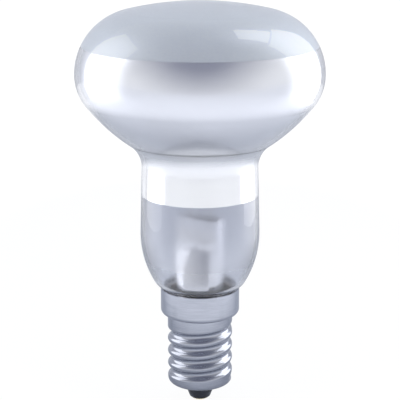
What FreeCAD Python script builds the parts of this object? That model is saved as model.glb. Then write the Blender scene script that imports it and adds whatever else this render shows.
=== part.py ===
import FreeCAD, Part
import Sketcher
import operator
import os
from math import acos, atan2, cos, hypot, pi, sin, sqrt

# A reflector lamp of the 50 mm class on a small Edison screw cap, in millimetres.
# It stands cap down. The origin is the middle of the contact tip, and +Z runs up the lamp's axis.

SIZES = [
    # The blown bulb
    ("lamp_length", 85.5, "contact tip to the crown of the face"),
    ("head_diameter", 51.0, "widest circle of the head"),
    ("face_height", 14.6, "from the widest circle up to the crown"),
    ("shoulder_ratio", 0.904, "round from the face to the widest circle, to the face's height"),
    ("cone_height", 19.3, "from the narrowest circle up to the widest"),
    ("belt_ratio", 0.508, "round just under the widest circle, to the cone's height"),
    ("cone_radius", 38.8, "long convex sweep of the reflector's cone"),
    ("throat_ratio", 0.321, "hollow where the cone meets the neck, to the cone's height"),
    ("waist_diameter", 24.2, "narrowest circle of the neck, at the throat"),
    ("belly_diameter", 25.0, "widest circle of the neck"),
    ("belly_ratio", 0.458, "height of that circle, as a share of the neck's"),
    ("bowl_ratio", 1.174, "upper round of the neck's foot, to the smallest that reaches the seal tube"),
    ("base_radius", 5.4, "lower round of the neck's foot"),
    ("seal_fillet", 0.9, "hollow between the foot and the seal tube"),
    ("seal_drop", 1.0, "from the skirt's rim down to the seal tube"),
    ("glass_wall", 0.8, "wall of the blown glass"),
    ("film_thickness", 0.1, "aluminium film inside the glass"),
    ("mirror_rise", 5.5, "upper edge of the film over the widest circle"),
    ("mirror_drop", 5.9, "lower edge of the film under the narrowest circle"),
    # The glass stem
    ("rim_clearance", 0.75, "from the cap's floor up to the flare's rim"),
    ("rim_thickness", 0.7, "rim that is melted to the bulb's edge"),
    ("rim_reach", 1.9, "width of that rim beside the flare tube"),
    ("flare_gap", 0.1, "between the rim's trumpet round and the seal tube"),
    ("flare_wall", 0.7, "wall of the flare tube"),
    ("tube_rise", 5.6, "round part of the tube above the skirt's rim"),
    ("squeeze_height", 5.0, "part of the tube that runs from round to flat"),
    ("press_height", 5.0, "flat part on top"),
    ("press_thickness", 3.4, "across the flats"),
    ("press_round", 0.6, "round on the press's upper edges"),
    ("roof_rise", 2.4, "top of the tube's hollow, over the start of the squeezed part"),
    ("roof_diameter", 4.4, "flat top of that hollow"),
    ("exhaust_diameter", 3.2, "exhaust tube"),
    ("exhaust_bore", 2.0, "bore of the exhaust tube"),
    ("exhaust_drop", 7.75, "melted tip of the exhaust tube, under the skirt"),
    ("port_rise", 1.4, "side port of the exhaust bore, over the start of the flat"),
    ("cane_diameter", 1.8, "glass cane on top of the press"),
    ("button_lip", 0.9, "how far the cane's button stands out all round"),
    ("button_flat", 0.1, "flat ring left under the button"),
    ("button_height", 2.4, "height of the button"),
    ("mount_angle", -35.0, "turn of the stem and its wires in the bulb, degrees"),
    # Wires and filament
    ("lead_diameter", 0.5, "inner leads, seal wires and cap leads"),
    ("lead_spacing", 5.2, "between the two leads in the press"),
    ("lead_bite", 1.4, "length of each lead held in the press"),
    ("lead_bend", 2.0, "bend radius of the leads"),
    ("lead_end_ratio", 0.19, "upright part at each end of the free leads, to their height"),
    ("filament_rise", 10.4, "plane of the filament over the narrowest circle"),
    ("filament_ring", 12.0, "diameter of the filament's arc"),
    ("filament_diameter", 0.7, "outside of the coiled wire"),
    ("filament_tail_angle", 12.0, "how far the coil runs past each lead, degrees"),
    ("hook_clearance", 0.03, "between the coil and what holds it"),
    ("hook_leg", 0.8, "free leg of each lead's hook"),
    ("side_exit_drop", 1.5, "where the side lead leaves the skirt, under the rim"),
    ("centre_bend_rise", 2.4, "where the centre lead reaches the axis, over the insulator"),
    ("centre_bend", 1.2, "bend radius of the centre lead"),
    ("support_diameter", 0.25, "molybdenum support wires"),
    ("support_bite", 1.1, "length of each support in the button"),
    ("support_bend", 0.6, "bend radius of the supports"),
    ("support_rise", 1.2, "upright end of each support, and its level start"),
    # The cap, from the contact up
    ("tip_height", 0.3, "solder bead on the contact plate"),
    ("tip_diameter", 2.9, "across the bead"),
    ("tip_flat", 1.6, "flat at the very tip"),
    ("tip_bite", 0.12, "solder left below the end of the centre lead"),
    ("plate_thickness", 0.25, "contact plate"),
    ("plate_diameter", 3.6, "contact plate"),
    ("insulator_drop", 1.95, "cone of the insulator under the shell"),
    ("insulator_bed", 1.6, "insulator inside the shell"),
    ("insulator_end_diameter", 4.4, "across the lower end"),
    ("insulator_round", 0.3, "round on the lower end"),
    ("eyelet_bore", 1.2, "hole for the centre lead in the insulator"),
    ("lip_diameter", 5.9, "opening of the shell that the insulator fills"),
    ("nose_rise", 2.0, "from the shell's lower edge up to the end of its cylinder"),
    ("nose_round", 1.2, "round at the cap's lower end"),
    ("cap_wall", 0.25, "sheet of the cap shell"),
    ("thread_diameter", 13.8, "over the crests"),
    ("thread_depth", 0.8, "from the crests to the roots"),
    ("thread_pitch", 2.822, "nine turns to the inch"),
    ("crest_land", 0.1, "cylindrical land on the crests"),
    ("thread_turns", 4.0, "full turns of the root"),
    ("thread_start", 1.012, "lowest root, over the end of the cylinder"),
    ("collar_height", 2.95, "from the uppermost root to the skirt, at the +X side"),
    ("skirt_step", 1.45, "how far the skirt stands out over the crests"),
    ("skirt_length", 5.65, "height of the skirt"),
    ("skirt_round", 1.0, "round under the skirt"),
    ("cement_gap", 1.1, "between the seal tube and the skirt"),
    ("cement_height", 2.3, "height of the basing cement"),
    ("cement_drop", 1.2, "top of the cement under the rim"),
    ("solder_diameter", 2.6, "bead of the side solder"),
    ("solder_height", 0.5, "how far that bead stands out of the skirt"),
]

# What follows from those sizes, so that each piece keeps its place against its neighbours
FOLLOWING = [
    ("insulator_end_height", "tip_height + plate_thickness", "lower end of the insulator"),
    ("lip_height", "insulator_end_height + insulator_drop", "lower edge of the shell"),
    ("insulator_top_height", "lip_height + insulator_bed", "top of the insulator, in the cap"),
    ("nose_height", "lip_height + nose_rise", "end of the threaded part"),
    ("root_diameter", "thread_diameter - 2 * thread_depth", "at the roots"),
    ("thread_top_height", "nose_height + thread_start + thread_pitch * thread_turns", "uppermost root"),
    ("skirt_diameter", "thread_diameter + 2 * skirt_step", "skirt"),
    ("skirt_bottom_height", "thread_top_height + collar_height", "step from the skirt to the thread"),
    ("skirt_top_height", "skirt_bottom_height + skirt_length", "rim of the skirt"),
    ("cement_top_height", "skirt_top_height - cement_drop", "top of the basing cement"),
    ("cement_bottom_height", "cement_top_height - cement_height", "underside of the basing cement"),
    ("seal_diameter", "skirt_diameter - 2 * (cap_wall + cement_gap)", "seal tube that stands in the cap"),
    ("seal_top_height", "skirt_top_height - seal_drop", "where the seal tube begins"),
    ("rim_bottom_height", "skirt_bottom_height + cap_wall + rim_clearance", "underside of the flare's rim"),
    ("flare_diameter", "seal_diameter - 2 * rim_reach", "flare tube"),
    ("flare_round", "rim_reach - glass_wall - flare_gap", "trumpet round from the tube to its rim"),
    ("press_start_height", "skirt_top_height + tube_rise", "where the tube begins to be squeezed"),
    ("press_flat_height", "press_start_height + squeeze_height", "where the squeezed part is flat"),
    ("press_top_height", "press_flat_height + press_height", "top of the squeezed part"),
    ("roof_height", "press_start_height + roof_rise", "top of the hollow in the flare tube"),
    ("port_height", "press_flat_height + port_rise", "side port of the exhaust bore"),
    ("exhaust_tip_height", "skirt_bottom_height - exhaust_drop", "melted tip of the exhaust tube"),
    ("head_height", "lamp_length - face_height", "height of the widest circle"),
    ("waist_height", "head_height - cone_height", "height of the narrowest circle"),
    ("belly_height", "skirt_top_height + belly_ratio * (waist_height - skirt_top_height)",
     "height of the neck's widest circle"),
    ("mirror_top_height", "head_height + mirror_rise", "upper edge of the film"),
    ("mirror_bottom_height", "waist_height - mirror_drop", "lower edge of the film"),
    ("shoulder_radius", "shoulder_ratio * face_height", "round from the face to the widest circle"),
    ("belt_radius", "belt_ratio * cone_height", "round just under the widest circle"),
    ("throat_radius", "throat_ratio * cone_height", "hollow where the cone meets the neck"),
    ("foot_rise", "belly_height - seal_top_height", "from the seal tube up to the neck's widest circle"),
    ("foot_reach", "(belly_diameter - seal_diameter) / 2", "from the seal tube out to that circle"),
    ("bowl_radius", "bowl_ratio * (foot_rise ^ 2 + foot_reach ^ 2 - 2 * foot_reach * seal_fillet)"
     " / (2 * foot_reach)", "upper round of the neck's foot"),
    ("filament_height", "waist_height + filament_rise", "plane of the filament"),
    ("lead_rise", "lead_end_ratio * (filament_height - press_top_height)", "upright end of the leads"),
    ("lead_kink_height", "press_top_height + lead_rise", "where the inner leads start to spread"),
    ("cane_top_height", "filament_height - lead_rise", "top of the cane's button"),
    ("button_diameter", "cane_diameter + 2 * button_lip", "button that holds the supports"),
    ("button_round", "button_lip - button_flat", "round on both edges of the button"),
    ("side_exit_height", "skirt_top_height - side_exit_drop", "where the side lead leaves the skirt"),
    ("centre_bend_height", "insulator_top_height + centre_bend_rise", "where the centre lead is on the axis"),
]

doc = FreeCAD.newDocument("ReflectorLamp")
sheet = doc.addObject("Spreadsheet::Sheet", "Sizes")
for row, (alias, _, meaning) in enumerate(SIZES + FOLLOWING, start=1):
    sheet.set(f"A{row}", alias)
    sheet.setAlias(f"B{row}", alias)
    sheet.set(f"C{row}", meaning)
for alias, value, _ in SIZES + FOLLOWING:
    sheet.set(alias, f"={value}")
doc.recompute()


class Length:
    """A size with its number and the formula that gives it from the sheet."""

    def __init__(self, number, formula):
        self.number = number
        self.formula = formula

    def join(self, sign, act, other):
        if not isinstance(other, Length):
            other = Length(float(other), str(other))
        return Length(act(self.number, other.number), f"({self.formula} {sign} {other.formula})")

    def __add__(self, other):
        return self.join("+", operator.add, other)

    def __sub__(self, other):
        return self.join("-", operator.sub, other)

    def __mul__(self, other):
        return self.join("*", operator.mul, other)

    def __truediv__(self, other):
        return self.join("/", operator.truediv, other)


def size(alias):
    return Length(float(sheet.get(alias)), f"Sizes.{alias}")


def radius(alias):
    return size(f"{alias}_diameter") / 2


NOTHING = Length(0.0, "0")
SAME_PLACE = 0.0001
Z_AXIS = FreeCAD.Vector(0, 0, 1)


# Sketches and turned pieces


def new_sketch(body, name, plane, height=None):
    """A sketch on one of the body's own planes, lifted to a height where one is given."""
    sketch = body.newObject("Sketcher::SketchObject", name)
    support = next(item for item in body.Origin.OriginFeatures if item.Role == plane)
    sketch.AttachmentSupport = (support, [""])
    sketch.MapMode = "FlatFace"
    if height is not None:
        sketch.setExpression("AttachmentOffset.Base.z", height.formula)
    return sketch


def limit(sketch, kind, items, length):
    """One dimension of a sketch, bound to its formula."""
    index = sketch.addConstraint(Sketcher.Constraint(kind, *items, length.number))
    name = f"size{index}"
    sketch.renameConstraint(index, name)
    sketch.setExpression(f"Constraints.{name}", length.formula)


def place_point(sketch, item, end, across, up):
    """Holds a point of the sketch at its two coordinates."""
    if across is NOTHING:
        sketch.addConstraint(Sketcher.Constraint("PointOnObject", item, end, -2))
    else:
        limit(sketch, "DistanceX", (-1, 1, item, end), across)
    if up is NOTHING:
        sketch.addConstraint(Sketcher.Constraint("PointOnObject", item, end, -1))
    else:
        limit(sketch, "DistanceY", (-1, 1, item, end), up)


def draw_loop(sketch, corners):
    """A closed outline of straight lines through corners of two lengths each."""
    points = [FreeCAD.Vector(across.number, up.number, 0) for across, up in corners]
    items = [
        sketch.addGeometry(Part.LineSegment(start, points[(index + 1) % len(points)]), False)
        for index, start in enumerate(points)
    ]
    for index, item in enumerate(items):
        sketch.addConstraint(Sketcher.Constraint("Coincident", item, 2, items[(index + 1) % len(items)], 1))
        place_point(sketch, item, 1, *corners[index])


def new_body(label):
    body = doc.addObject("PartDesign::Body", label)
    body.Label = label
    return body


def revolve(body, sketch):
    feature = body.newObject("PartDesign::Revolution", f"{sketch.Name}_turned")
    feature.Profile = sketch
    feature.ReferenceAxis = (sketch, ["V_Axis"])
    feature.Angle = 360
    doc.recompute()
    return feature


def turned(label, corners):
    """A body turned from one closed outline of radii and heights."""
    body = new_body(label)
    sketch = new_sketch(body, f"{label}_outline", "XZ_Plane")
    draw_loop(sketch, corners)
    revolve(body, sketch)
    return body


def round_circles(body, circles, amount):
    """Rounds the circular edges of the given radii and heights."""

    def wanted(edge):
        return isinstance(edge.Curve, Part.Circle) and any(
            hypot(edge.Curve.Radius - wide.number, edge.Curve.Center.z - up.number) < SAME_PLACE
            for wide, up in circles
        )

    round_edges(body, wanted, amount)


def round_edges(body, wanted, amount):
    """Rounds those edges of the body for which a test is true."""
    base = body.Tip
    names = [f"Edge{index}" for index, edge in enumerate(base.Shape.Edges, start=1) if wanted(edge)]
    fillet = body.newObject("PartDesign::Fillet", f"{base.Name}_round")
    fillet.Base = (base, names)
    fillet.setExpression("Radius", amount.formula)
    doc.recompute()


def extrude(body, kind, sketch, length, reverse=False, both=False):
    feature = body.newObject(f"PartDesign::{kind}", f"{sketch.Name}_{kind.lower()}")
    feature.Profile = sketch
    feature.Reversed = reverse
    feature.Midplane = both
    feature.setExpression("Length", length.formula)
    doc.recompute()
    return feature


def boolean(kind, label, base, *tools):
    """A chain of Part booleans of one kind, which takes the tools one after another."""
    result = base
    for index, tool in enumerate(tools):
        feature = doc.addObject(f"Part::{kind}", f"{label}_{kind.lower()}{index}")
        feature.Base, feature.Tool = result, tool
        result = feature
    result.Label = label
    doc.recompute()
    return result


def turn_mount(item):
    """Turns a piece of the mount about the lamp's axis."""
    item.Placement = FreeCAD.Placement(FreeCAD.Vector(), FreeCAD.Rotation(Z_AXIS, size("mount_angle").number))


# Blown bulb: one wall of constant thickness, whose rounds run tangent into each other


def meet(centre_a, reach_a, centre_b, reach_b, side):
    """The point at two given distances from two centres, on one side of the line between them."""
    along = centre_b - centre_a
    gap = along.Length
    along.normalize()
    step = (reach_a**2 - reach_b**2 + gap**2) / (2 * gap)
    rise = sqrt(max(reach_a**2 - step**2, 0))
    return centre_a + along * step + FreeCAD.Vector(-along.y, along.x, 0) * side * rise


def bulb_rounds(inset):
    """Centre, radius and joint angles of each round of the bulb at a depth under its outer face."""
    number = {alias: size(alias).number for alias, _, _ in SIZES + FOLLOWING}
    head, waist = number["head_diameter"] / 2, number["waist_diameter"] / 2
    belly, seal = number["belly_diameter"] / 2, number["seal_diameter"] / 2
    shoulder_r, belt_r, cone_r = number["shoulder_radius"], number["belt_radius"], number["cone_radius"]
    throat_r, bowl_r, base_r = number["throat_radius"], number["bowl_radius"], number["base_radius"]
    shoulder = FreeCAD.Vector(head - shoulder_r, number["head_height"], 0)
    belt = FreeCAD.Vector(head - belt_r, number["head_height"], 0)
    throat = FreeCAD.Vector(waist + throat_r, number["waist_height"], 0)
    bowl = FreeCAD.Vector(belly - bowl_r, number["belly_height"], 0)
    hollow = FreeCAD.Vector(seal + number["seal_fillet"], number["seal_top_height"], 0)
    drop = shoulder.y - number["lamp_length"]
    dome_r = (shoulder_r**2 - shoulder.x**2 - drop**2) / (2 * (drop + shoulder_r))
    dome = FreeCAD.Vector(0, number["lamp_length"] - dome_r, 0)
    cone = meet(belt, cone_r - belt_r, throat, cone_r + throat_r, -1)
    base = meet(bowl, bowl_r - base_r, hollow, base_r + number["seal_fillet"], 1)
    across = throat - bowl
    lean = atan2(across.y, across.x) - acos((bowl_r + throat_r) / across.Length)

    def angle(start, end):
        return atan2(end.y - start.y, end.x - start.x)

    return [
        ("dome", dome, dome_r - inset, pi / 2, angle(dome, shoulder)),
        ("shoulder", shoulder, shoulder_r - inset, angle(dome, shoulder), 0),
        ("belt", belt, belt_r - inset, 0, angle(cone, belt)),
        ("cone", cone, cone_r - inset, angle(cone, belt), angle(cone, throat)),
        ("throat", throat, throat_r + inset, angle(cone, throat) + pi, lean + pi),
        ("bowl", bowl, bowl_r - inset, lean, angle(bowl, base)),
        ("base", base, base_r - inset, angle(bowl, base), angle(base, hollow)),
        ("hollow", hollow, number["seal_fillet"] + inset, angle(base, hollow) + pi, pi),
    ]


HOLLOW_ROUNDS = ("throat", "hollow")


def draw_side(sketch, inset, foot):
    """One side of the bulb's wall, from the crown down to the foot of the seal tube."""
    chain = []
    ends = {}
    for name, centre, radius_now, top_angle, low_angle in bulb_rounds(inset):
        circle = Part.Circle(centre, Z_AXIS, radius_now)
        hollow = name in HOLLOW_ROUNDS
        low, high = (top_angle, low_angle) if hollow else (low_angle, top_angle)
        arc = Part.ArcOfCircle(circle, low, high)
        item = sketch.addGeometry(arc, False)
        top_end, low_end = (1, 2) if hollow else (2, 1)
        ends[name] = (arc.StartPoint, arc.EndPoint) if hollow else (arc.EndPoint, arc.StartPoint)
        chain.append((name, item, top_end, low_end))
    neck = sketch.addGeometry(Part.LineSegment(ends["throat"][1], ends["bowl"][0]), False)
    chain.insert(5, ("neck", neck, 1, 2))
    tube_top = ends["hollow"][1]
    tube_foot = FreeCAD.Vector(tube_top.x, foot.number, 0)
    tube = sketch.addGeometry(Part.LineSegment(tube_top, tube_foot), False)
    chain.append(("tube", tube, 1, 2))
    for (_, upper, _, upper_end), (_, lower, lower_end, _) in zip(chain, chain[1:]):
        sketch.addConstraint(Sketcher.Constraint("Tangent", upper, upper_end, lower, lower_end))
    return {name: item for name, item, _, _ in chain}


def blown_wall(label, outer, inner):
    """A body turned from the bulb's wall between two depths under its outer face."""
    foot = size("rim_bottom_height") + size("rim_thickness")
    body = new_body(label)
    sketch = new_sketch(body, f"{label}_wall", "XZ_Plane")
    out = draw_side(sketch, outer.number, foot)
    inn = draw_side(sketch, inner.number, foot)

    head, waist, belly, seal = (radius(name) for name in ("head", "waist", "belly", "seal"))
    centres = {
        "shoulder": (head - size("shoulder_radius"), size("head_height")),
        "belt": (head - size("belt_radius"), size("head_height")),
        "throat": (waist + size("throat_radius"), size("waist_height")),
        "hollow": (seal + size("seal_fillet"), size("seal_top_height")),
    }
    for name, (across, up) in centres.items():
        place_point(sketch, out[name], 3, across, up)
    sketch.addConstraint(Sketcher.Constraint("PointOnObject", out["dome"], 3, -2))
    limit(sketch, "DistanceX", (out["bowl"], 3, -1, 1), size("bowl_radius") - belly)
    limit(sketch, "DistanceY", (-1, 1, out["bowl"], 3), size("belly_height"))
    radii = {
        "shoulder": size("shoulder_radius") - outer,
        "cone": size("cone_radius") - outer,
        "throat": size("throat_radius") + outer,
        "bowl": size("bowl_radius") - outer,
        "base": size("base_radius") - outer,
        "hollow": size("seal_fillet") + outer,
    }
    for name, amount in radii.items():
        limit(sketch, "Radius", (out[name],), amount)
    for name, item in out.items():
        if name not in ("neck", "tube"):
            sketch.addConstraint(Sketcher.Constraint("Coincident", item, 3, inn[name], 3))

    for side, depth in ((out, outer), (inn, inner)):
        place_point(sketch, side["dome"], 2, NOTHING, size("lamp_length") - depth)
        limit(sketch, "DistanceY", (-1, 1, side["tube"], 2), foot)
    sketch.addConstraint(Sketcher.Constraint("Vertical", out["tube"]))
    sketch.addConstraint(Sketcher.Constraint("Vertical", inn["tube"]))
    for name, end in (("dome", 2), ("tube", 2)):
        start_point = sketch.getPoint(out[name], end)
        end_point = sketch.getPoint(inn[name], end)
        edge = sketch.addGeometry(Part.LineSegment(start_point, end_point), False)
        sketch.addConstraint(Sketcher.Constraint("Coincident", edge, 1, out[name], end))
        sketch.addConstraint(Sketcher.Constraint("Coincident", edge, 2, inn[name], end))
    revolve(body, sketch)
    return body


pieces = []

bulb_glass = blown_wall("bulb_glass", NOTHING, size("glass_wall"))
pieces.append(bulb_glass)

# Mirror: a film of aluminium on the inside of the glass, between two level edges
film_wall = blown_wall("film_wall", size("glass_wall"), size("glass_wall") + size("film_thickness"))
film_band = doc.addObject("Part::Cylinder", "film_band")
film_band.setExpression("Radius", size("head_diameter").formula)
film_band.setExpression("Height", (size("mirror_top_height") - size("mirror_bottom_height")).formula)
film_band.setExpression("Placement.Base.z", size("mirror_bottom_height").formula)
mirror_coating = boolean("Common", "mirror_coating", film_wall, film_band)
pieces.append(mirror_coating)

# Glass stem: a flared tube, squeezed flat round the wires at its top


def stem_blank():
    """The flared tube with its solid upper end, turned before it is squeezed."""
    rim_low = size("rim_bottom_height")
    rim_high = rim_low + size("rim_thickness")
    tube = radius("flare")
    bore = tube - size("flare_wall")
    body = turned("stem_glass", [
        (bore, rim_low),
        (radius("seal"), rim_low),
        (radius("seal"), rim_high),
        (tube, rim_high),
        (tube, size("press_top_height")),
        (NOTHING, size("press_top_height")),
        (NOTHING, size("roof_height")),
        (radius("roof"), size("roof_height")),
        (bore, size("press_start_height")),
    ])
    round_circles(body, [(tube, rim_high)], size("flare_round"))
    round_circles(body, [(bore, rim_low)], size("flare_round"))
    return body


def squeeze(body):
    """Takes both sides off the tube's end, which leaves the flat press."""
    tube, half = radius("flare"), size("press_thickness") / 2
    start, flat, top = (size(f"press_{name}_height") for name in ("start", "flat", "top"))
    beyond = size("flare_diameter")
    sketch = new_sketch(body, "press_sides", "YZ_Plane")
    draw_loop(sketch, [(tube, start), (half, flat), (half, top), (beyond, top), (beyond, start)])
    side = extrude(body, "Pocket", sketch, size("flare_diameter") * 2, both=True)
    mirror = body.newObject("PartDesign::Mirrored", "press_other_side")
    mirror.Originals = [side]
    mirror.MirrorPlane = (sketch, ["V_Axis"])
    body.Tip = mirror
    doc.recompute()
    round_edges(body, lambda edge: edge.BoundBox.ZMin > top.number - SAME_PLACE, size("press_round"))


def drill(body, name, across, wide, low, high):
    """An upright hole of a diameter, between two heights, at a distance from the axis along X."""
    sketch = new_sketch(body, name, "XY_Plane", low)
    item = sketch.addGeometry(Part.Circle(FreeCAD.Vector(across.number, 0, 0), Z_AXIS, wide.number / 2), False)
    limit(sketch, "Diameter", (item,), wide)
    sketch.addConstraint(Sketcher.Constraint("PointOnObject", item, 3, -1))
    if across is NOTHING:
        sketch.addConstraint(Sketcher.Constraint("PointOnObject", item, 3, -2))
    elif across.number > 0:
        limit(sketch, "DistanceX", (-1, 1, item, 3), across)
    else:
        limit(sketch, "DistanceX", (item, 3, -1, 1), across * -1)
    return extrude(body, "Pocket", sketch, high - low, reverse=True)


stem_glass = stem_blank()
squeeze(stem_glass)
for side in (-1, 1):
    drill(stem_glass, f"wire_hole{side + 1}", size("lead_spacing") * side / 2, size("lead_diameter"),
          size("press_start_height"), size("press_top_height"))
drill(stem_glass, "exhaust_hole", NOTHING, size("exhaust_bore"), size("roof_height"), size("port_height"))
port = new_sketch(stem_glass, "exhaust_port", "XZ_Plane")
port_circle = port.addGeometry(Part.Circle(FreeCAD.Vector(0, size("port_height").number, 0), Z_AXIS, 1), False)
limit(port, "Diameter", (port_circle,), size("exhaust_bore"))
place_point(port, port_circle, 3, NOTHING, size("port_height"))
extrude(stem_glass, "Pocket", port, size("press_thickness"))
turn_mount(stem_glass)
pieces.append(stem_glass)

# Exhaust tube: drawn glass, melted shut to a point in the cap once the bulb is empty
tube_out, tube_in = radius("exhaust"), size("exhaust_bore") / 2
tube_tip = size("exhaust_tip_height")
melted_top = tube_tip + size("exhaust_diameter")
exhaust_tube = turned("exhaust_tube", [
    (tube_in, size("roof_height")),
    (tube_out, size("roof_height")),
    (tube_out, tube_tip + tube_out),
    (tube_in / 2, tube_tip),
    (NOTHING, tube_tip),
    (NOTHING, tube_tip + tube_out),
    (tube_in, melted_top),
])
pieces.append(exhaust_tube)


# Wires: each is one round wire, bent in one upright plane through the lamp's axis


def bent_path(points, bend):
    """Straight runs through the points, with a round of the bend radius at each corner."""
    edges = []
    start = points[0]
    for before, corner, after in zip(points, points[1:], points[2:]):
        back = (before - corner).normalize()
        ahead = (after - corner).normalize()
        half = back.getAngle(ahead) / 2
        reach = bend / sin(half) * cos(half)
        first, last = corner + back * reach, corner + ahead * reach
        middle = corner + (back + ahead).normalize() * (bend / sin(half) - bend)
        edges.append(Part.LineSegment(start, first).toShape())
        edges.append(Part.Arc(first, middle, last).toShape())
        start = last
    edges.append(Part.LineSegment(start, points[-1]).toShape())
    return edges


def wire_piece(label, edges, wide):
    """A round wire of a diameter along joined edges."""
    path = Part.Wire(edges)
    start = edges[0].valueAt(edges[0].FirstParameter)
    heading = edges[0].tangentAt(edges[0].FirstParameter)
    section = Part.Wire(Part.Circle(start, heading, wide / 2).toShape())
    feature = doc.addObject("Part::Feature", label)
    feature.Label = label
    feature.Shape = path.makePipeShell([section], True, False)
    turn_mount(feature)
    pieces.append(feature)
    return feature


def upright(across, up):
    return FreeCAD.Vector(across, 0, up)


lead_half = size("lead_spacing").number / 2
lead_wide = size("lead_diameter").number
ring_half = size("filament_ring").number / 2
coil_up = size("filament_height").number
seal_low = size("roof_height") + size("lead_bite")
seal_high = size("press_top_height") - size("lead_bite")

# Inner leads: nickel wire, spread above the press and hooked over the ends of the filament
hook_reach = (lead_wide + size("filament_diameter").number) / 2 + size("hook_clearance").number
for name, side in (("left", -1), ("right", 1)):
    outer, inner = ring_half + hook_reach, ring_half - hook_reach
    edges = bent_path([
        upright(side * lead_half, seal_high.number),
        upright(side * lead_half, size("lead_kink_height").number),
        upright(side * outer, coil_up - size("lead_rise").number),
        upright(side * outer, coil_up),
    ], size("lead_bend").number)
    over = Part.Arc(upright(side * outer, coil_up), upright(side * ring_half, coil_up + hook_reach),
                    upright(side * inner, coil_up))
    leg = Part.LineSegment(upright(side * inner, coil_up),
                           upright(side * inner, coil_up - size("hook_leg").number))
    wire_piece(f"inner_lead_{name}", edges + [over.toShape(), leg.toShape()], lead_wide)

# Seal wires: copper-clad, the only metal that the glass grips tight
for name, side in (("left", -1), ("right", 1)):
    seal_wire = doc.addObject("Part::Cylinder", f"seal_wire_{name}")
    seal_wire.Label = f"seal_wire_{name}"
    seal_wire.setExpression("Radius", radius("lead").formula)
    seal_wire.setExpression("Height", (seal_high - seal_low).formula)
    turn = FreeCAD.Rotation(Z_AXIS, size("mount_angle").number)
    seal_wire.Placement = FreeCAD.Placement(turn.multVec(upright(side * lead_half, seal_low.number)), turn)
    pieces.append(seal_wire)

# Cap leads: one to the skirt's rim, one down the middle to the contact
crawl_up = (size("skirt_bottom_height") + size("cap_wall") + size("rim_bottom_height")) / 2
climb_out = (radius("seal") + radius("skirt") - size("cap_wall")) / 2
side_lead = wire_piece("side_lead", bent_path([
    upright(-lead_half, seal_low.number),
    upright(-lead_half, crawl_up.number),
    upright(-climb_out.number, crawl_up.number),
    upright(-climb_out.number, size("side_exit_height").number),
    upright(-size("skirt_diameter").number / 2 - lead_wide / 2, size("side_exit_height").number),
], lead_wide), lead_wide)
centre_lead = wire_piece("centre_lead", bent_path([
    upright(lead_half, seal_low.number),
    upright(lead_half, size("centre_bend_height").number + lead_half),
    upright(0, size("centre_bend_height").number),
    upright(0, size("tip_bite").number),
], size("centre_bend").number), lead_wide)

# Filament: a coiled tungsten wire, held in an open ring at the reflector's focus
filament = doc.addObject("Part::Torus", "filament")
filament.Label = "filament"
filament.setExpression("Radius1", (size("filament_ring") / 2).formula)
filament.setExpression("Radius2", radius("filament").formula)
filament.setExpression("Angle3", (size("filament_tail_angle") * 2 + 180).formula)
filament.Placement = FreeCAD.Placement(
    upright(0, coil_up), FreeCAD.Rotation(Z_AXIS, size("mount_angle").number - size("filament_tail_angle").number + 180)
)
pieces.append(filament)

# Supports: three molybdenum wires, stuck into the cane's button and looped round the filament
loop_reach = (size("support_diameter") + size("filament_diameter")).number / 2 + size("hook_clearance").number
button_half = size("button_diameter").number / 2
button_up = size("cane_top_height").number - size("button_height").number / 2
support_rise = size("support_rise").number
support_count = 3


def round_coil(angle):
    """A point of the supports' loop round the filament, at an angle from its outer side."""
    return upright(ring_half + loop_reach * cos(angle), coil_up + loop_reach * sin(angle))


supports = []
for number in range(1, support_count + 1):
    edges = bent_path([
        upright(button_half - size("support_bite").number, button_up),
        upright(button_half + support_rise, button_up),
        upright(ring_half - loop_reach, coil_up - support_rise),
        round_coil(pi),
    ], size("support_bend").number)
    over = Part.Arc(round_coil(pi), round_coil(pi / 2), round_coil(0))
    under = Part.Arc(round_coil(0), round_coil(-pi / 4), round_coil(-pi / 2))
    support = wire_piece(f"support_wire_{number}", edges + [over.toShape(), under.toShape()],
                         size("support_diameter").number)
    heading = size("mount_angle").number - 180 * number / (support_count + 1)
    support.Placement = FreeCAD.Placement(FreeCAD.Vector(), FreeCAD.Rotation(Z_AXIS, heading))
    supports.append(support)

# Cane: a glass rod on the press, whose button was melted round the supports
button_low = size("cane_top_height") - size("button_height")
cane_blank = turned("cane_blank", [
    (NOTHING, size("press_top_height")),
    (radius("cane"), size("press_top_height")),
    (radius("cane"), button_low),
    (radius("button"), button_low),
    (radius("button"), size("cane_top_height")),
    (NOTHING, size("cane_top_height")),
])
round_circles(cane_blank, [(radius("button"), button_low), (radius("button"), size("cane_top_height"))],
              size("button_round"))
support_cane = boolean("Cut", "support_cane", cane_blank, *supports)
pieces.append(support_cane)


# Cap shell: drawn aluminium sheet with a rolled knuckle thread, the same wall all over


def cap_blank(label, depth):
    """The cap's turned form at a depth under its outer face. The bore runs out of both ends."""
    skirt, crest, lip = radius("skirt") - depth, radius("thread") - depth, radius("lip")
    top, step = size("skirt_top_height") + depth, size("skirt_bottom_height") + depth
    slope = (size("nose_height") - size("lip_height")) / (radius("thread") - lip)
    lift = depth * Length(hypot(1, slope.number), f"sqrt(1 + {slope.formula} ^ 2)")
    nose = size("nose_height") + lift - slope * depth
    corners = [(NOTHING, top), (skirt, top), (skirt, step), (crest, step), (crest, nose)]
    corners.append((lip, size("lip_height") + lift))
    if depth is not NOTHING:
        corners.append((lip, size("lip_height") - depth))
    corners.append((NOTHING, size("lip_height") - depth))
    body = turned(label, corners)
    round_circles(body, [(skirt, step)], size("skirt_round") - depth)
    round_circles(body, [(crest, nose)], size("nose_round") - depth)
    return body


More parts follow.
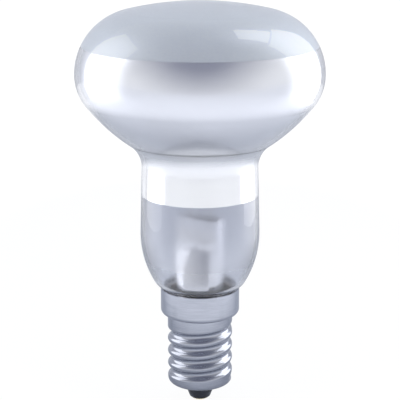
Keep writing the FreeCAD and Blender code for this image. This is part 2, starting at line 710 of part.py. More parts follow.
def groove(label, depth):
    """The knuckle groove at a depth under the crests: a section of three tangent rounds swept along
    the root's helix, which leaves the cap along a straight tangent at each end."""
    depth = depth.number
    pitch = size("thread_pitch").number
    crest, root = size("thread_diameter").number / 2, size("root_diameter").number / 2
    half, fall = (pitch - size("crest_land").number) / 2, crest - root
    turn = 2 * atan2(fall, half)
    knuckle = half / (2 * sin(turn))
    run = sqrt((crest + depth + size("crest_land").number) ** 2 - root**2)
    climb = pitch * size("thread_turns").number
    helix = Part.makeHelix(pitch, climb, root)
    heading = FreeCAD.Vector(0, 1, pitch / (2 * pi * root)).normalize()
    low, high = upright(root, 0), upright(root, climb)
    start = low - heading * run
    run_in = Part.LineSegment(start, low).toShape()
    run_out = Part.LineSegment(high, high + heading * run).toShape()

    def at(across, up):
        return FreeCAD.Vector(across, start.y, start.z + up)

    def knuckle_point(centre, up, reach, angle):
        return at(centre + reach * cos(angle), up + reach * sin(angle))

    hollow, round_over = knuckle + depth, knuckle - depth
    edges = [
        Part.Arc(*(knuckle_point(crest - knuckle, half, round_over, -turn * share) for share in (0, 0.5, 1))),
        Part.Arc(*(knuckle_point(root + knuckle, 0, hollow, pi - turn * share) for share in (1, 0, -1))),
        Part.Arc(*(knuckle_point(crest - knuckle, -half, round_over, turn * share) for share in (1, 0.5, 0))),
    ]
    outside = crest - depth + fall
    corners = [at(crest - depth, -half), at(outside, -half), at(outside, half), at(crest - depth, half)]
    edges += [Part.LineSegment(first, last) for first, last in zip(corners, corners[1:])]
    sweep = Part.BRepOffsetAPI.MakePipeShell(Part.Wire([run_in] + helix.Edges + [run_out]))
    sweep.setBiNormalMode(Z_AXIS)
    sweep.add(Part.Wire([edge.toShape() for edge in edges]), False, False)
    sweep.build()
    sweep.makeSolid()
    feature = doc.addObject("Part::Feature", label)
    feature.Shape = sweep.shape()
    lift = size("thread_top_height").number - climb
    feature.Placement = FreeCAD.Placement(upright(0, lift), FreeCAD.Rotation())
    return feature


wall = size("cap_wall")
cap_outside = boolean("Cut", "cap_outside", cap_blank("cap_solid", NOTHING), groove("outer_groove", NOTHING))
cap_inside = boolean("Cut", "cap_inside", cap_blank("cap_bore", wall), groove("inner_groove", wall))
notch = doc.addObject("Part::Box", "rim_notch")
for name, length in (("Length", size("skirt_diameter") / 2), ("Width", size("lead_diameter")),
                     ("Height", size("skirt_top_height"))):
    notch.setExpression(name, length.formula)
notch_turn = FreeCAD.Rotation(Z_AXIS, size("mount_angle").number + 180)
notch_corner = FreeCAD.Vector(climb_out.number, -lead_wide / 2, size("side_exit_height").number)
notch.Placement = FreeCAD.Placement(notch_turn.multVec(notch_corner), notch_turn)
cap_shell = boolean("Cut", "cap_shell", cap_outside, cap_inside, notch, side_lead)
pieces.append(cap_shell)

# Basing cement: a baked ring that glues the seal tube into the skirt
cement_blank = turned("cement_blank", [
    (radius("seal"), size("cement_bottom_height")),
    (radius("skirt") - wall, size("cement_bottom_height")),
    (radius("skirt") - wall, size("cement_top_height")),
    (radius("seal"), size("cement_top_height")),
])
cement_ring = boolean("Cut", "cement_ring", cement_blank, side_lead)
pieces.append(cement_ring)

# Side solder: a bead over the notch in the rim, where the side lead comes out
bead = doc.addObject("Part::Sphere", "solder_bead")
bead.setExpression("Radius", radius("solder").formula)
bead_out = size("skirt_diameter").number / 2 + size("solder_height").number - size("solder_diameter").number / 2
bead.Placement = FreeCAD.Placement(
    notch_turn.multVec(FreeCAD.Vector(bead_out, 0, size("side_exit_height").number)), notch_turn
)
bead_core = doc.addObject("Part::Cylinder", "bead_core")
bead_core.setExpression("Radius", (radius("skirt") - wall).formula)
bead_core.setExpression("Height", size("lamp_length").formula)
side_solder = boolean("Cut", "side_solder", bead, bead_core, cap_shell, side_lead)
pieces.append(side_solder)

# Insulator: black glass poured into the cap's lower end, down to a short cone
eyelet = size("eyelet_bore") / 2
plug_band = turned("plug_band", [
    (eyelet, size("lip_height")),
    (radius("thread"), size("lip_height")),
    (radius("thread"), size("insulator_top_height")),
    (eyelet, size("insulator_top_height")),
])
plug = boolean("Common", "insulator_plug", cap_inside, plug_band)
cone = turned("insulator_cone", [
    (eyelet, size("insulator_end_height")),
    (radius("insulator_end"), size("insulator_end_height")),
    (radius("lip"), size("lip_height")),
    (radius("lip"), size("lip_height") + wall),
    (eyelet, size("lip_height") + wall),
])
round_circles(cone, [(radius("insulator_end"), size("insulator_end_height"))], size("insulator_round"))
insulator = boolean("Fuse", "insulator", plug, cone)
pieces.append(insulator)

# Centre contact: a brass plate with the end of its lead under a bead of solder
plate_low = size("insulator_end_height") - size("plate_thickness")
contact_plate = turned("contact_plate", [
    (radius("lead"), plate_low),
    (radius("plate"), plate_low),
    (radius("plate"), size("insulator_end_height")),
    (radius("lead"), size("insulator_end_height")),
])
pieces.append(contact_plate)
contact_solder = turned("contact_solder", [
    (NOTHING, NOTHING),
    (size("tip_flat") / 2, NOTHING),
    (radius("tip"), plate_low),
    (radius("lead"), plate_low),
    (radius("lead"), size("tip_bite")),
    (NOTHING, size("tip_bite")),
])
pieces.append(contact_solder)


# Checks on every object and piece, before anything is written
doc.recompute()
for item in doc.Objects:
    if {"Invalid", "Error"} & set(item.State):
        raise RuntimeError(f"{item.Label} failed: {item.State}")
for piece in pieces:
    if piece.Shape.isNull() or not piece.Shape.isValid():
        raise RuntimeError(f"{piece.Label} has no valid shape")

os.makedirs("parts", exist_ok=True)
for piece in pieces:
    piece.Shape.exportStep(f"parts/{piece.Label}.step")
    print(piece.Label, len(piece.Shape.Solids), round(piece.Shape.Volume, 3))
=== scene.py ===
from math import acos, atan2, cos, pi, radians, sin, sqrt, tau

import bmesh
import bpy
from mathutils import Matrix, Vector


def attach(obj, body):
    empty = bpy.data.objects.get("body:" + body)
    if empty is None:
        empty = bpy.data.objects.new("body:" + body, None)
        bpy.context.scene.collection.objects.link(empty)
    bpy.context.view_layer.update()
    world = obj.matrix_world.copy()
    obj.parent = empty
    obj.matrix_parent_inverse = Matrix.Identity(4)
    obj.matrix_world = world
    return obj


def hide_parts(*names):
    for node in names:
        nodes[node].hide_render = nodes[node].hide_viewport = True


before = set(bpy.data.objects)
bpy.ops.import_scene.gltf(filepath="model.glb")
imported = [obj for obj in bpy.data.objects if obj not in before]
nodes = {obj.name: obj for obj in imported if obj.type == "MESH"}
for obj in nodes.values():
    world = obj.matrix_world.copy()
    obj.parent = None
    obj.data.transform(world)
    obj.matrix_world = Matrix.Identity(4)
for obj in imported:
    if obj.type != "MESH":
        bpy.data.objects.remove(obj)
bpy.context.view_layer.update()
MM = 0.001

# Glass stem
# A flare tube of soft glass, trumpet shaped at its rim and squeezed flat at its top while it was
# red hot, with the exhaust tube melted into its roof. The thick glass shines all round.
weld = 0.002 * MM


def dressed_copy(node, name, *materials, crease=40):
    """A smooth piece in place of a CAD node: its triangles joined, sharp past an angle only."""
    mesh = bpy.data.meshes.new(name)
    work = bmesh.new()
    work.from_mesh(nodes[node].data)
    bmesh.ops.remove_doubles(work, verts=work.verts, dist=weld)
    for face in work.faces:
        face.smooth = True
    for edge in work.edges:
        edge.smooth = edge.calc_face_angle(pi) < radians(crease)
    work.to_mesh(mesh)
    work.free()
    cad_normals = mesh.attributes.get("custom_normal")
    if cad_normals:
        mesh.attributes.remove(cad_normals)
    return placed(mesh, node, materials)


def placed(mesh, node, materials):
    """The piece of a finished mesh, riding on the lamp, in place of a CAD node, which it hides."""
    piece = bpy.data.objects.new(mesh.name, mesh)
    bpy.context.scene.collection.objects.link(piece)
    mesh.materials.clear()
    for material in materials:
        mesh.materials.append(material)
    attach(piece, "root")
    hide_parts(node)
    return piece


def finish(name, **values):
    """A material whose shader has these constant values on its own sockets."""
    material = bpy.data.materials.new(name)
    material.use_nodes = True
    shader = material.node_tree.nodes["Principled BSDF"]
    for socket, value in values.items():
        shader.inputs[socket.replace("_", " ")].default_value = value
    return material


def grain(material, scale, stretch=(1, 1, 1), kind="Noise"):
    """A texture of the piece's own coordinates, as its factor socket. Scale is per metre."""
    tree = material.node_tree
    place = tree.nodes.new("ShaderNodeTexCoord")
    turn = tree.nodes.new("ShaderNodeMapping")
    texture = tree.nodes.new(f"ShaderNodeTex{kind}")
    turn.inputs["Scale"].default_value = [scale * share for share in stretch]
    texture.inputs["Scale"].default_value = 1.0
    tree.links.new(place.outputs["Object"], turn.inputs["Vector"])
    tree.links.new(turn.outputs["Vector"], texture.inputs["Vector"])
    return texture.outputs["Distance" if kind == "Voronoi" else 0]


def spread(material, target, low, high, factor, start=0.3, end=0.7):
    """Feeds a socket of the shader with two numbers or colours, mixed by a factor's range."""
    tree = material.node_tree
    shader = tree.nodes["Principled BSDF"]
    if isinstance(low, tuple):
        ramp = tree.nodes.new("ShaderNodeValToRGB")
        first, last = ramp.color_ramp.elements
        first.position, last.position = start, end
        first.color, last.color = (*low, 1), (*high, 1)
        tree.links.new(factor, ramp.inputs["Fac"])
        tree.links.new(ramp.outputs["Color"], shader.inputs[target])
        return
    span = tree.nodes.new("ShaderNodeMapRange")
    span.inputs["From Min"].default_value = start
    span.inputs["From Max"].default_value = end
    span.inputs["To Min"].default_value = low
    span.inputs["To Max"].default_value = high
    tree.links.new(factor, span.inputs["Value"])
    tree.links.new(span.outputs["Result"], shader.inputs[target])


def relief(material, height, depth, strength):
    """Bumps the surface by a factor, with a depth in millimetres."""
    tree = material.node_tree
    bump = tree.nodes.new("ShaderNodeBump")
    bump.inputs["Distance"].default_value = depth * MM
    bump.inputs["Strength"].default_value = strength
    tree.links.new(height, bump.inputs["Height"])
    tree.links.new(bump.outputs["Normal"], tree.nodes["Principled BSDF"].inputs["Normal"])


stem_finish = finish(
    "stem_glass_clear",
    Base_Color=(0.99, 0.99, 1.0, 1),
    Transmission_Weight=0.5,
    Metallic=0.7,
    IOR=1.52,
)
spread(stem_finish, "Roughness", 0.1, 0.2, grain(stem_finish, 900))
relief(stem_finish, grain(stem_finish, 180, (1, 1, 0.4)), depth=0.4, strength=0.8)
dressed_copy("stem_glass", "flare_and_press", stem_finish, crease=60)

# Exhaust tube and cane
# Both are drawn from the stem's glass. The tube's lower end was melted shut when the bulb was
# empty, and the cane's top was melted to a button that holds the supports.
tube_finish = finish(
    "tube_glass_clear",
    Base_Color=(0.98, 0.98, 1.0, 1),
    Transmission_Weight=0.8,
    IOR=1.52,
)
spread(tube_finish, "Roughness", 0.0, 0.05, grain(tube_finish, 700, (1, 1, 0.1)))
relief(tube_finish, grain(tube_finish, 500, (1, 1, 0.05)), depth=0.02, strength=0.5)
dressed_copy("exhaust_tube", "pumping_tube", tube_finish, crease=50)
dressed_copy("support_cane", "glass_cane", tube_finish, crease=60)

# Leads
# Nickel wire above the press, copper-clad wire sealed in the glass, and copper wire down to the
# cap. They are drawn wires, butt welded to each other. The clad part is dark red from its oxide.
nickel = finish("nickel_wire", Metallic=1.0)
nickel_lines = grain(nickel, 3000, (1, 1, 0.1))
spread(nickel, "Base Color", (0.52, 0.5, 0.46), (0.7, 0.68, 0.63), nickel_lines)
spread(nickel, "Roughness", 0.22, 0.42, grain(nickel, 1500))
clad = finish("copper_clad_wire", Metallic=0.8)
spread(clad, "Base Color", (0.34, 0.09, 0.06), (0.62, 0.22, 0.13), grain(clad, 2500))
spread(clad, "Roughness", 0.3, 0.5, grain(clad, 4000))
copper = finish("copper_wire", Metallic=1.0)
spread(copper, "Base Color", (0.5, 0.24, 0.14), (0.8, 0.46, 0.3), grain(copper, 2200))
spread(copper, "Roughness", 0.25, 0.45, grain(copper, 3500, (1, 1, 0.1)))
for side in ("left", "right"):
    dressed_copy(f"inner_lead_{side}", f"nickel_lead_{side}", nickel)
    dressed_copy(f"seal_wire_{side}", f"sealed_wire_{side}", clad)
dressed_copy("side_lead", "lead_to_skirt", copper)
dressed_copy("centre_lead", "lead_to_contact", copper)

# Filament
# A tungsten wire wound to a fine coil, hung in an open ring from the two leads. Both ends of the
# coil are pinched in the leads' hooks, and it is dull grey until it has burnt.
stem_angle, tail_angle = -35, 12
coil_start = radians(stem_angle - tail_angle + 180)
coil_sweep = radians(180 + 2 * tail_angle)
coil_ring, coil_height = 6.0 * MM, 62.0 * MM
coil_radius, coil_wire = 0.29 * MM, 0.055 * MM
coil_turns, steps_a_turn = 80, 14
coil_steps = coil_turns * steps_a_turn - 1
coil_line = bpy.data.curves.new("coil_line", "CURVE")
coil_line.dimensions = "3D"
coil_line.bevel_depth = coil_wire
coil_line.bevel_resolution = 1
strand = coil_line.splines.new("POLY")
strand.points.add(coil_steps)
for index, point in enumerate(strand.points):
    share = index / coil_steps
    around, winding = coil_start + coil_sweep * share, tau * coil_turns * share
    reach = coil_ring + coil_radius * cos(winding)
    height = coil_height + coil_radius * sin(winding)
    point.co = (reach * cos(around), reach * sin(around), height, 1)
coil_maker = bpy.data.objects.new("coil_maker", coil_line)
bpy.context.scene.collection.objects.link(coil_maker)
evaluated = coil_maker.evaluated_get(bpy.context.evaluated_depsgraph_get())
coil_mesh = bpy.data.meshes.new_from_object(evaluated)
bpy.data.objects.remove(coil_maker)
coil_mesh.name = "wound_filament"
tungsten = finish("tungsten_coil", Metallic=1.0)
spread(tungsten, "Base Color", (0.18, 0.18, 0.19), (0.34, 0.34, 0.35), grain(tungsten, 5000))
spread(tungsten, "Roughness", 0.35, 0.55, grain(tungsten, 8000))
placed(coil_mesh, "filament", [tungsten])

# Supports
# Three fine wires of molybdenum, which keeps its stiffness when it is red hot. They are pushed
# into the soft button of the cane and looped round the coil.
molybdenum = finish("molybdenum_wire", Metallic=1.0)
spread(molybdenum, "Base Color", (0.38, 0.38, 0.4), (0.58, 0.58, 0.6), grain(molybdenum, 4000))
spread(molybdenum, "Roughness", 0.25, 0.45, grain(molybdenum, 6000))
for number in (1, 2, 3):
    dressed_copy(f"support_wire_{number}", f"coil_support_{number}", molybdenum)

# Blown bulb
# Soda-lime glass blown into a turning mould: a low dome, a shoulder, a long cone and a clear neck.
# The outside keeps the gloss of the hot glass, and the inside of the face is etched satin. A trace
# of the mirror's metal hazes the inside of the neck, less and less downwards. The neck's grey,
# deeper upwards, is partly that haze and partly painted shade that darkens the view through it.
head, waist, belly, seal = 25.5, 12.1, 12.5, 7.0
crown_height, head_height, waist_height = 85.5, 70.9, 51.6
belly_height, seal_height, foot_height = 37.4, 24.4, 21.45
mirror_top, mirror_bottom = 76.4, 45.7
shoulder_round, belt_round, cone_round, throat_round = 13.198, 9.804, 38.8, 6.195
bowl_round, base_round, seal_round = 20.208, 5.4, 0.9
wall = 0.8
least_step = wall / 20
arc_step = radians(2.0)
turning_steps = 180
turned_crease = radians(50)


def meet(start, start_reach, end, end_reach, side):
    """The point at two distances from two centres, on one side of the line between them."""
    along = end - start
    step = (start_reach**2 - end_reach**2 + along.length_squared) / (2 * along.length)
    rise = sqrt(start_reach**2 - step**2)
    along.normalize()
    return start + along * step + Vector((-along.y, along.x)) * side * rise


def bulb_line(depth):
    """The bulb's half outline at a depth under its outer face, from the crown to the foot."""
    shoulder = Vector((head - shoulder_round, head_height))
    belt = Vector((head - belt_round, head_height))
    throat = Vector((waist + throat_round, waist_height))
    bowl = Vector((belly - bowl_round, belly_height))
    hollow = Vector((seal + seal_round, seal_height))
    drop = shoulder.y - crown_height
    dome_round = (shoulder_round**2 - shoulder.x**2 - drop**2) / (2 * (drop + shoulder_round))
    dome = Vector((0, crown_height - dome_round))
    cone = meet(belt, cone_round - belt_round, throat, cone_round + throat_round, -1)
    base = meet(bowl, bowl_round - base_round, hollow, base_round + seal_round, 1)
    across = throat - bowl
    lean = atan2(across.y, across.x) - acos((bowl_round + throat_round) / across.length)

    def angle(start, end):
        return atan2(end.y - start.y, end.x - start.x)

    arcs = [
        (dome, dome_round - depth, pi / 2, angle(dome, shoulder)),
        (shoulder, shoulder_round - depth, angle(dome, shoulder), 0),
        (belt, belt_round - depth, 0, angle(cone, belt)),
        (cone, cone_round - depth, angle(cone, belt), angle(cone, throat)),
        (throat, throat_round + depth, angle(cone, throat) + pi, lean + pi),
        (bowl, bowl_round - depth, lean, angle(bowl, base)),
        (base, base_round - depth, angle(bowl, base), angle(base, hollow)),
        (hollow, seal_round + depth, angle(base, hollow) + pi, pi),
    ]
    line = []
    for centre, reach, first, last in arcs:
        count = max(3, round(abs(last - first) / arc_step))
        for index in range(count + 1):
            turn = first + (last - first) * index / count
            point = centre + Vector((cos(turn), sin(turn))) * reach
            if not line or (point - line[-1]).length > least_step:
                line.append(point)
    return line + [Vector((line[-1].x, foot_height))]


def turned(name, outline, *levels):
    """A mesh turned from a closed outline in millimetres, its faces cut at some levels."""
    work = bmesh.new()
    corners = [work.verts.new((point.x * MM, 0, point.y * MM)) for point in outline]
    sides = [work.edges.new(pair) for pair in zip(corners, corners[1:] + corners[:1])]
    bmesh.ops.spin(
        work, geom=corners + sides, cent=(0, 0, 0), axis=(0, 0, 1), dvec=(0, 0, 0), angle=tau,
        steps=turning_steps, use_merge=True, use_normal_flip=False, use_duplicate=False,
    )
    bmesh.ops.remove_doubles(work, verts=work.verts, dist=weld)
    bmesh.ops.recalc_face_normals(work, faces=work.faces)
    for level in levels:
        bmesh.ops.bisect_plane(
            work, geom=work.verts[:] + work.edges[:] + work.faces[:], dist=weld,
            plane_co=(0, 0, level * MM), plane_no=(0, 0, 1),
        )
    for face in work.faces:
        face.smooth = True
    mesh = bpy.data.meshes.new(name)
    work.to_mesh(mesh)
    work.free()
    mesh.set_sharp_from_angle(angle=turned_crease)
    return mesh


def fade_between(material, target, low, high, low_height, high_height):
    """Feeds a socket of the shader with two values, mixed between two heights in millimetres."""
    tree = material.node_tree
    place = tree.nodes.new("ShaderNodeTexCoord")
    parts = tree.nodes.new("ShaderNodeSeparateXYZ")
    span = tree.nodes.new("ShaderNodeMapRange")
    span.inputs["From Min"].default_value = low_height * MM
    span.inputs["From Max"].default_value = high_height * MM
    tree.links.new(place.outputs["Object"], parts.inputs["Vector"])
    tree.links.new(parts.outputs["Z"], span.inputs["Value"])
    spread(material, target, low, high, span.outputs["Result"], start=0.0, end=1.0)


clear_glass = finish(
    "bulb_glass_clear",
    Base_Color=(0.995, 0.997, 1.0, 1),
    Transmission_Weight=1.0,
    IOR=1.5,
)
spread(clear_glass, "Roughness", 0.0, 0.02, grain(clear_glass, 60))
relief(clear_glass, grain(clear_glass, 45, (1, 1, 0.5)), depth=0.06, strength=0.25)
satin_glass = finish("bulb_glass_satin", Transmission_Weight=0.08, Metallic=0.22, IOR=1.5)
spread(satin_glass, "Base Color", (0.82, 0.88, 0.98), (0.86, 0.92, 1.0), grain(satin_glass, 2500))
spread(satin_glass, "Roughness", 0.28, 0.36, grain(satin_glass, 4000))
relief(satin_glass, grain(satin_glass, 9000), depth=0.01, strength=0.5)
haze_and_shade_glass = finish("bulb_glass_haze_and_shade", Transmission_Weight=1.0, IOR=1.5)
# Partly painted shade: the haze's grey deepens upwards and darkens the view through the neck.
fade_between(haze_and_shade_glass, "Base Color", (0.86, 0.88, 0.94), (0.69, 0.72, 0.81), 24, 38)
fade_between(haze_and_shade_glass, "Metallic", 0.03, 0.15, 24, 36)
fade_between(haze_and_shade_glass, "Roughness", 0.0, 0.33, 26, 33)

bulb_finishes = [clear_glass, satin_glass, haze_and_shade_glass]
bulb_mesh = turned("blown_bulb", bulb_line(0) + bulb_line(wall)[::-1], mirror_top, mirror_bottom)
placed(bulb_mesh, "bulb_glass", bulb_finishes)
for face in bulb_mesh.polygons:
    centre, outward = face.center, face.normal
    if centre.z > mirror_top * MM and outward.z * (centre.z - head_height * MM) < 0:
        face.material_index = bulb_finishes.index(satin_glass)
    elif centre.z < mirror_bottom * MM and outward.x * centre.x + outward.y * centre.y < 0:
        face.material_index = bulb_finishes.index(haze_and_shade_glass)

# Mirror
# A film of aluminium, vapour deposited on the inside of the glass from the face's edge to the
# neck. The glass shows it from outside as a bright mirror, softened a little by its fine grain.
film_gap, film_wall = 0.02, 0.08


def between(line, low, high):
    """The part of an outline between two heights, with its ends on them."""
    kept = []
    for start, end in zip(line, line[1:]):
        for level in (high, low):
            if start.y > level > end.y:
                kept.append(start.lerp(end, (start.y - level) / (start.y - end.y)))
        if low < end.y < high:
            kept.append(end)
    return kept


film_outside = between(bulb_line(wall + film_gap), mirror_bottom, mirror_top)
film_inside = between(bulb_line(wall + film_gap + film_wall), mirror_bottom, mirror_top)
silver = finish("aluminium_film")
# Painted light and shade: the film's colour is whiter at the neck and darker up the cone, in place
# of what each part reflects.
fade_between(silver, "Base Color", (0.99, 0.995, 1.0), (0.86, 0.88, 0.94), 50, 60)
fade_between(silver, "Metallic", 0.9, 1.0, 48, 60)
fade_between(silver, "Roughness", 0.2, 0.31, 50, 58)
relief(silver, grain(silver, 120, (1, 1, 0.6)), depth=0.08, strength=0.3)
placed(turned("mirror_film", film_outside + film_inside[::-1]), "mirror_coating", [silver])

# Screw cap
# One piece of thin aluminium: drawn to a cup, its thread rolled in from both sides, its skirt left
# plain. The rolling leaves fine lines round it. Both metals are painted darker with shade, the
# thread more than the skirt.
skirt_foot = 19.8
cap_metals = []
# Painted shade: the aluminium's colours are painted dark, the thread's darker than the skirt's.
for name, shaded_dark_grain, shaded_light_grain in (
    ("aluminium_thread", (0.36, 0.38, 0.44), (0.46, 0.48, 0.54)),
    ("aluminium_skirt", (0.42, 0.44, 0.5), (0.52, 0.54, 0.6)),
):
    metal = finish(name, Metallic=1.0)
    spread(metal, "Base Color", shaded_dark_grain, shaded_light_grain, grain(metal, 300, (1, 1, 30)))
    spread(metal, "Roughness", 0.12, 0.22, grain(metal, 500, (1, 1, 16)))
    relief(metal, grain(metal, 400, (0.6, 0.6, 24)), depth=0.006, strength=0.4)
    cap_metals.append(metal)
screw_shell = dressed_copy("cap_shell", "screw_shell", *cap_metals, crease=45)
for face in screw_shell.data.polygons:
    face.material_index = int(face.center.z > skirt_foot * MM)

# Basing cement
# A ring of resin and marble flour, baked between the seal tube and the skirt. It is brown and
# dull, with pale grains in it.
cement = finish("basing_cement", Roughness=0.85)
flour = grain(cement, 3500, kind="Voronoi")
spread(cement, "Base Color", (0.78, 0.74, 0.66), (0.36, 0.27, 0.2), flour, start=0.1, end=0.5)
relief(cement, grain(cement, 3000), depth=0.15, strength=1.0)
dressed_copy("cement_ring", "cement", cement)

# Solder
# A bead at the skirt's rim joins the side lead to the shell, and one on the contact plate joins
# the centre lead. Both are tin solder, bright where they froze smooth and grey where oxidised.
solder = finish("tin_solder", Metallic=1.0)
spread(solder, "Base Color", (0.42, 0.43, 0.45), (0.68, 0.69, 0.71), grain(solder, 1200))
spread(solder, "Roughness", 0.25, 0.5, grain(solder, 2500))
relief(solder, grain(solder, 1500), depth=0.05, strength=0.6)
dressed_copy("side_solder", "rim_solder", solder)
dressed_copy("contact_solder", "tip_solder", solder, crease=50)

# Insulator and contact plate
# Black glass, poured into the cap's lower end while it was hot and pressed to a short cone. A
# stamped brass plate is set in its tip.
black_glass = finish("black_glass", Coat_Weight=0.6, Coat_Roughness=0.06, IOR=1.55)
black_flow = grain(black_glass, 500)
spread(black_glass, "Base Color", (0.006, 0.007, 0.015), (0.02, 0.022, 0.04), black_flow)
spread(black_glass, "Roughness", 0.08, 0.22, grain(black_glass, 900))
relief(black_glass, grain(black_glass, 600), depth=0.05, strength=0.5)
dressed_copy("insulator", "insulator_glass", black_glass, crease=45)
brass = finish("contact_brass", Metallic=1.0)
spread(brass, "Base Color", (0.62, 0.46, 0.22), (0.82, 0.66, 0.36), grain(brass, 900))
spread(brass, "Roughness", 0.25, 0.45, grain(brass, 1500))
dressed_copy("contact_plate", "brass_plate", brass, crease=45)

# Floor and backdrop
# One pale sweep: a floor that runs up behind the lamp in a curve. It shows white to the eye and
# keeps the lamp's shadow. A pool of it behind the lamp is painted darker, a painted shadow that
# shades the clear neck.
floor_front, floor_back = -0.4, 0.3
sweep_depth, sweep_height, sweep_round, sweep_width = 1.1, 1.2, 0.4, 3.0
white_strength = 1.06
# Painted shadow: a darker pool in the floor's colour, just behind the lamp.
painted_shadow_squeeze, painted_shadow_shift = (1.4, 1, 1), (0, -0.1, 0)
painted_shadow_inner, painted_shadow_outer = 0.1, 0.155


def pale(name, painted_shadow_colour, colour, camera_share, mirror_share):
    """A lit surface that is white by one share to the eye and by another in metal and glass."""
    material = finish(name, Roughness=0.9)
    material.cycles.emission_sampling = "NONE"
    tree = material.node_tree
    path = tree.nodes.new("ShaderNodeLightPath")
    glow = tree.nodes.new("ShaderNodeEmission")
    glow.inputs["Strength"].default_value = white_strength
    spot = tree.nodes.new("ShaderNodeTexCoord")
    shift = tree.nodes.new("ShaderNodeVectorMath")
    reach = tree.nodes.new("ShaderNodeVectorMath")
    shift.operation, reach.operation = "MULTIPLY_ADD", "LENGTH"
    shift.inputs[1].default_value, shift.inputs[2].default_value = painted_shadow_squeeze, painted_shadow_shift
    tree.links.new(spot.outputs["Object"], shift.inputs[0])
    tree.links.new(shift.outputs["Vector"], reach.inputs[0])
    away = reach.outputs["Value"]
    # Painted shadow: the base colour darkens in the pool behind the lamp.
    spread(material, "Base Color", painted_shadow_colour, colour, away, start=painted_shadow_inner, end=painted_shadow_outer)
    mix = tree.nodes.new("ShaderNodeMixShader")
    rays = {"Camera": camera_share, "Glossy": mirror_share, "Transmission": mirror_share}
    white_share = None
    for ray, share in rays.items():
        partly = tree.nodes.new("ShaderNodeMath")
        partly.operation = "MULTIPLY_ADD"
        partly.inputs[1].default_value, partly.inputs[2].default_value = share, 0
        tree.links.new(path.outputs[f"Is {ray} Ray"], partly.inputs[0])
        if white_share:
            tree.links.new(white_share, partly.inputs[2])
        white_share = partly.outputs[0]
    tree.links.new(white_share, mix.inputs["Fac"])
    tree.links.new(tree.nodes["Principled BSDF"].outputs["BSDF"], mix.inputs[1])
    tree.links.new(glow.outputs["Emission"], mix.inputs[2])
    tree.links.new(mix.outputs["Shader"], tree.nodes["Material Output"].inputs["Surface"])
    return material


profile = [(floor_front, 0.0), (floor_back, 0.0), (sweep_depth - sweep_round, 0.0)]
for turn in range(10, 91, 10):
    in_front = sweep_round * (1 - sin(radians(turn)))
    profile.append((sweep_depth - in_front, sweep_round * (1 - cos(radians(turn)))))
profile.append((sweep_depth, sweep_height))
work = bmesh.new()
rail = [work.verts.new((-sweep_width / 2, along, up)) for along, up in profile]
edges = [work.edges.new(pair) for pair in zip(rail, rail[1:])]
drawn = bmesh.ops.extrude_edge_only(work, edges=edges)
moved = [item for item in drawn["geom"] if isinstance(item, bmesh.types.BMVert)]
bmesh.ops.translate(work, verts=moved, vec=(sweep_width, 0, 0))
bmesh.ops.recalc_face_normals(work, faces=work.faces)
for face in work.faces:
    face.smooth = True
    face.material_index = int(face.calc_center_median().y > floor_back)
sweep_mesh = bpy.data.meshes.new("studio_sweep")
work.to_mesh(sweep_mesh)
work.free()
backdrop_grey = (0.7, 0.72, 0.78)
for material in (
    # The floor's first colour is its painted shadow pool.
    pale("studio_floor", (0.36, 0.39, 0.46), (0.92, 0.94, 1.0), 0.9, 0.1),
    pale("studio_backdrop", backdrop_grey, backdrop_grey, 1.0, 0.0),
):
    sweep_mesh.materials.append(material)
sweep = bpy.data.objects.new("studio_sweep", sweep_mesh)
bpy.context.scene.collection.objects.link(sweep)

# Softboxes
# A tall one on each side of the lamp, which draws the bright sides of the head and neck, and a
# small one above on the right, for the highlight on the face. All point just over the lamp.
aim = Vector((0, 0, 0.12))
softboxes = {
    "softbox_left": {"place": (-0.158, 0.025, 0.125), "size": (0.136, 0.25), "watts": 0.13},
    "softbox_right": {"place": (0.15, 0.062, 0.125), "size": (0.13, 0.25), "watts": 0.17},
    "softbox_high": {"place": (0.115, 0.044, 0.285), "size": (0.09, 0.09), "watts": 0.05},
}
for name, softbox in softboxes.items():
    light = bpy.data.lights.new(name, "AREA")
    light.shape = "RECTANGLE"
    light.size, light.size_y = softbox["size"]
    light.energy = softbox["watts"]
    holder = bpy.data.objects.new(name, light)
    bpy.context.scene.collection.objects.link(holder)
    holder.location = softbox["place"]
    sight = aim - Vector(softbox["place"])
    holder.rotation_euler = sight.to_track_quat("-Z", "Y").to_euler()

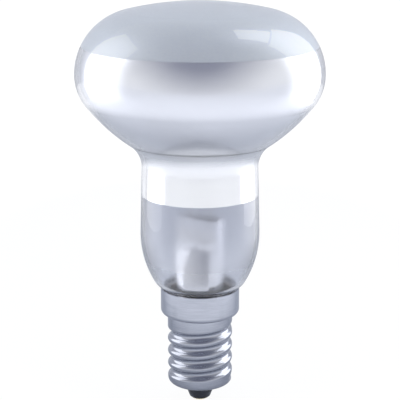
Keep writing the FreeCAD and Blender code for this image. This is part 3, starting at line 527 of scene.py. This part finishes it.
# Room
# Even white light from all round, and white behind the lamp. Metal and glass also see a dim
# ceiling over the camera, which shades them from the middle out to their sides.
white = (1, 1, 1, 1)
dim_colour, dim_way, dim_squeeze = (0.27, 0.28, 0.35, 1), (0, -0.42, 0.91), (1.5, 1, 1)
dim_inner, dim_outer = 0.6, 1.6
world = bpy.data.worlds.new("studio_air")
world.use_nodes = True
world.cycles.sampling_method = "NONE"
air = world.node_tree
sky = air.nodes.new("ShaderNodeTexCoord")
squeeze = air.nodes.new("ShaderNodeVectorMath")
away = air.nodes.new("ShaderNodeVectorMath")
span = air.nodes.new("ShaderNodeMapRange")
fade = air.nodes.new("ShaderNodeMixRGB")
squeeze.operation, away.operation = "MULTIPLY", "DISTANCE"
squeeze.inputs[1].default_value, away.inputs[1].default_value = dim_squeeze, dim_way
span.inputs["From Min"].default_value = dim_inner
span.inputs["From Max"].default_value = dim_outer
fade.inputs["Color1"].default_value, fade.inputs["Color2"].default_value = dim_colour, white
air.links.new(sky.outputs["Generated"], squeeze.inputs[0])
air.links.new(squeeze.outputs["Vector"], away.inputs[0])
air.links.new(away.outputs["Value"], span.inputs["Value"])
air.links.new(span.outputs["Result"], fade.inputs["Fac"])
path = air.nodes.new("ShaderNodeLightPath")
shade = fade.outputs["Color"]
for ray in ("Diffuse Depth", "Is Camera Ray"):
    blend = air.nodes.new("ShaderNodeMixRGB")
    blend.inputs["Color2"].default_value = white
    air.links.new(path.outputs[ray], blend.inputs["Fac"])
    air.links.new(shade, blend.inputs["Color1"])
    shade = blend.outputs["Color"]
air.links.new(shade, air.nodes["Background"].inputs["Color"])
bpy.context.scene.world = world
bpy.context.scene.view_settings.view_transform = "Standard"

# Camera
# It looks a little down on the lamp from its front, with a long lens, so that the lamp fills the
# picture from the crown to the contact.
look_down = 14.475
camera = bpy.data.cameras.new("camera")
camera.lens, camera.sensor_width = 109.17, 36.0
eye = bpy.data.objects.new("camera", camera)
eye.location = (0, -0.2455, 0.10775)
eye.rotation_euler = (radians(90 - look_down), 0, 0)
bpy.context.scene.collection.objects.link(eye)
bpy.context.scene.camera = eye
